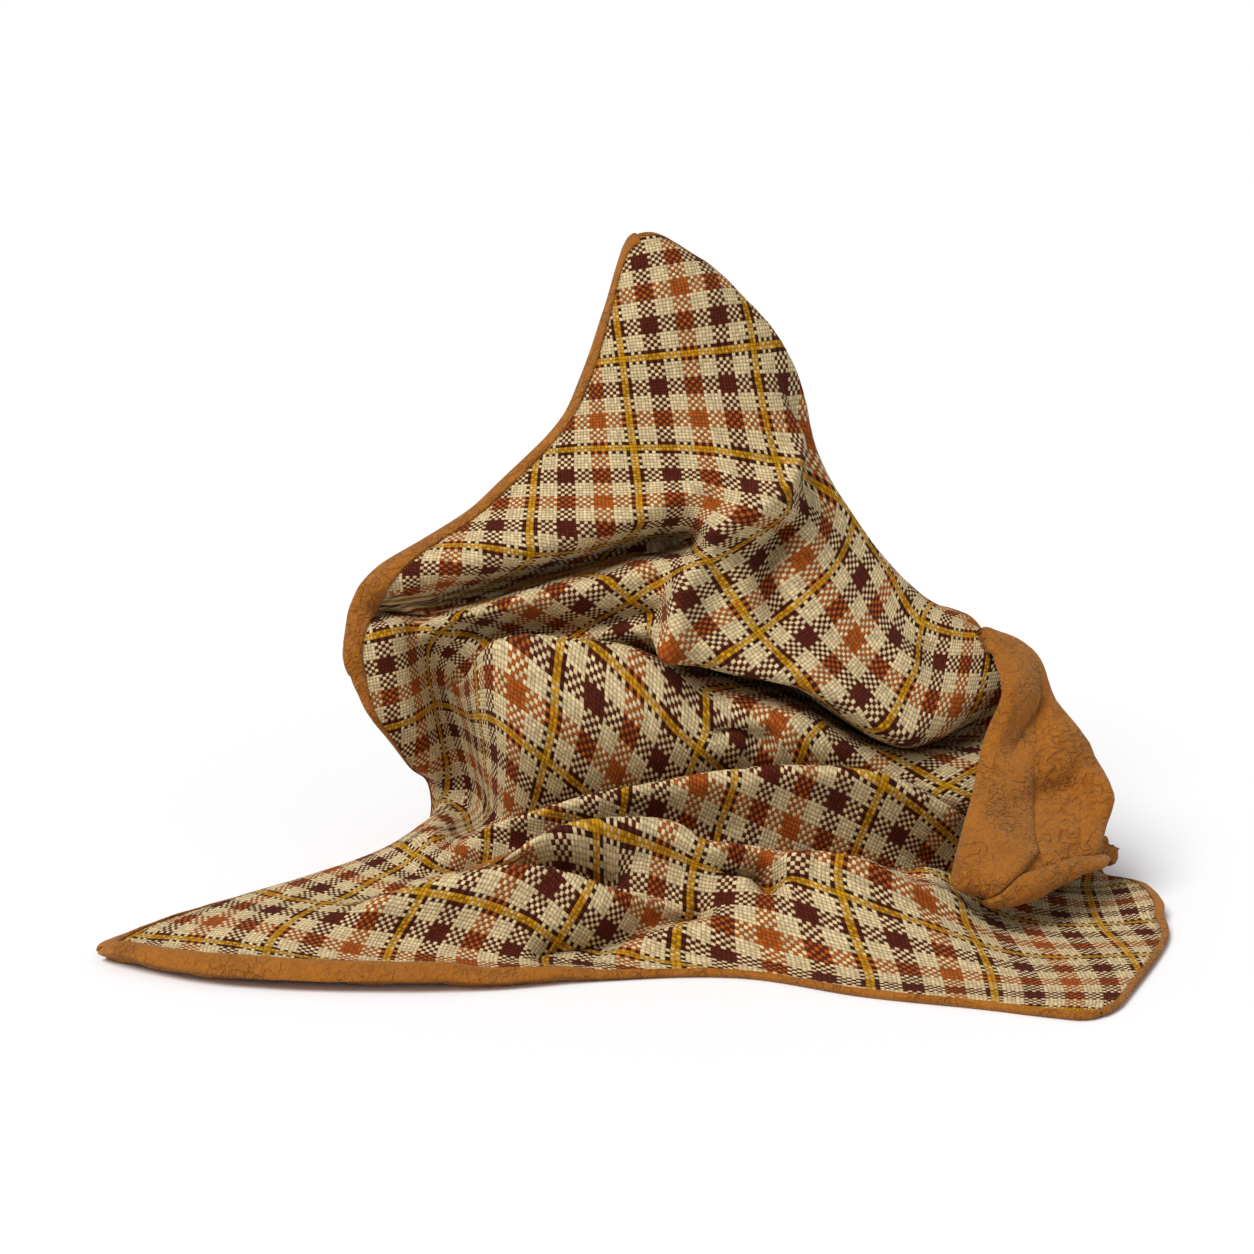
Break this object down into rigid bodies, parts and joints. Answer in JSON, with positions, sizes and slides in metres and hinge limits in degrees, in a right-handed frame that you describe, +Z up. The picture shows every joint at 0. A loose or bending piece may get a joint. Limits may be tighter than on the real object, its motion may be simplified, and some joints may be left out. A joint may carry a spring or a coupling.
{
  "type": "camp blanket",
  "caption": "Two-layer throw blanket slumped in a heap with one corner standing up: woven plaid face, pile fleece back, fleece border.",
  "frame": {"origin": "on the ground under the middle of the bounding box", "axes": "+Z up, +X towards the turned-over fleece corner, -Y towards the front edge"},
  "size_m": [1.2962, 0.6348, 0.812],
  "materials": {
    "plaid_wool": "coarse woven plaid in cream, burgundy, rust and mustard",
    "fleece": "short caramel pile",
    "border_fleece": "short caramel pile, rolled over the edge"
  },
  "bodies": {
    "root": {"plaid_face": "plaid_wool", "fleece_backing": "fleece", "binding_left": "border_fleece", "binding_front": "border_fleece", "binding_right": "border_fleece", "binding_back": "border_fleece"}
  },
  "joints": []
}
